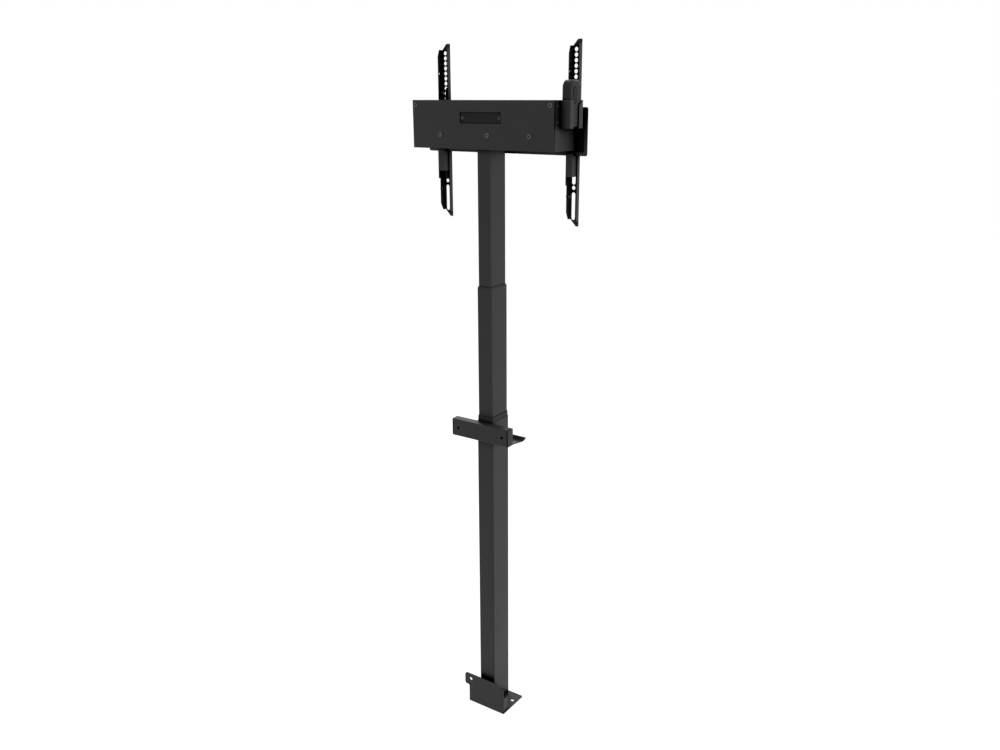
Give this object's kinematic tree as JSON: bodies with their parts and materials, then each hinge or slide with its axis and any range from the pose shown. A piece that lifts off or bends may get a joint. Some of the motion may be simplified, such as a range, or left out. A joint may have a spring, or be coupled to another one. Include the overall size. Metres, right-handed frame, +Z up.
{
  "type": "motorized tv stand",
  "caption": "Motorised TV lift: three-stage telescopic column with floor and wall fixings, head box, TV rail, two hooked arms and a holstered hand control.",
  "frame": {"origin": "on the floor, under the middle of the column", "axes": "+Z up, +Y towards the television, +X along the rail to the side of the hand control"},
  "size_m": [0.48, 0.143, 1.874],
  "materials": {
    "powder_coated_steel": "matte",
    "black_plastic": "satin",
    "zinc_steel": "satin",
    "blackened_screws": "satin",
    "cast_housing": "matte",
    "white_acetal": "satin"
  },
  "bodies": {
    "base": {"foot_bracket": "powder_coated_steel", "base_block": "black_plastic", "foot_screws": "zinc_steel", "base_tube": "powder_coated_steel", "base_pipe": "zinc_steel", "lower_nut": "white_acetal", "base_collar": "black_plastic", "wall_bar": "powder_coated_steel", "bar_cap_left": "black_plastic", "bar_cap_right": "black_plastic", "bar_bracket_left": "powder_coated_steel", "bar_bracket_right": "powder_coated_steel", "bar_screws": "zinc_steel"},
    "mid_stage": {"mid_tube": "powder_coated_steel", "mid_collar": "black_plastic", "mid_glides": "white_acetal", "mid_bearing": "black_plastic", "mid_pipe": "zinc_steel", "upper_nut": "white_acetal"},
    "lower_screw": {"lower_spindle": "zinc_steel", "drive_shaft": "zinc_steel"},
    "upper_screw": {"upper_spindle": "zinc_steel"},
    "head": {"upper_tube": "powder_coated_steel", "upper_glides": "white_acetal", "top_insert": "black_plastic", "head_plate": "powder_coated_steel", "head_screws": "zinc_steel", "chassis": "powder_coated_steel", "cover_bar": "powder_coated_steel", "cover_plate": "powder_coated_steel", "cover_screws": "blackened_screws", "slot_plate": "black_plastic", "slot_screws": "blackened_screws", "gearbox": "cast_housing", "motor": "cast_housing", "control_box": "black_plastic", "tv_rail": "powder_coated_steel", "rail_spacers": "zinc_steel", "rail_bolts": "zinc_steel", "holster": "powder_coated_steel", "holster_screws": "blackened_screws"},
    "left_arm_body": {"left_arm": "powder_coated_steel", "left_hook": "powder_coated_steel", "left_hook_rivets": "blackened_screws", "left_latch_pin": "blackened_screws"},
    "right_arm_body": {"right_arm": "powder_coated_steel", "right_hook": "powder_coated_steel", "right_hook_rivets": "blackened_screws", "right_latch_pin": "blackened_screws"},
    "left_latch_body": {"left_latch": "powder_coated_steel"},
    "right_latch_body": {"right_latch": "powder_coated_steel"},
    "handset_body": {"handset_front": "black_plastic", "handset_back": "black_plastic"},
    "rocker_body": {"rocker": "black_plastic"}
  },
  "joints": [
    {"name": "lower_lift", "type": "slide", "parent": "base", "child": "mid_stage", "axis": [0, 0, 1], "range_m": [-0.35, 0]},
    {"name": "upper_lift", "type": "slide", "parent": "mid_stage", "child": "head", "axis": [0, 0, 1], "range_m": [-0.35, 0]},
    {"name": "lower_screw_turn", "type": "hinge", "parent": "mid_stage", "child": "lower_screw", "pos_m": [0, 0, 0.75], "axis": [0, 0, 1], "continuous": true},
    {"name": "upper_screw_turn", "type": "hinge", "parent": "head", "child": "upper_screw", "pos_m": [0, 0, 1.65], "axis": [0, 0, 1], "continuous": true},
    {"name": "left_arm_slide", "type": "slide", "parent": "head", "child": "left_arm_body", "axis": [1, 0, 0], "range_m": [-0.025, 0.085]},
    {"name": "right_arm_slide", "type": "slide", "parent": "head", "child": "right_arm_body", "axis": [1, 0, 0], "range_m": [-0.085, 0.025]},
    {"name": "left_latch_turn", "type": "hinge", "parent": "left_arm_body", "child": "left_latch_body", "pos_m": [-0.195, 0.06, 1.506], "axis": [1, 0, 0], "range_deg": [0, 12]},
    {"name": "right_latch_turn", "type": "hinge", "parent": "right_arm_body", "child": "right_latch_body", "pos_m": [0.195, 0.06, 1.506], "axis": [1, 0, 0], "range_deg": [0, 12]},
    {"name": "handset_lift", "type": "slide", "parent": "head", "child": "handset_body", "axis": [0, 0, 1], "range_m": [0, 0.12]},
    {"name": "rocker_tilt", "type": "hinge", "parent": "handset_body", "child": "rocker_body", "pos_m": [0.2318, 0, 1.746], "axis": [0, 1, 0], "range_deg": [-3, 3], "stiffness_Nm_per_rad": 0.3}
  ],
  "couplings": [
    {"joint": "upper_lift", "follows": "lower_lift", "ratio": 1},
    {"joint": "lower_screw_turn", "follows": "lower_lift", "rad_per_m": 785.4},
    {"joint": "upper_screw_turn", "follows": "lower_lift", "rad_per_m": 785.4}
  ]
}
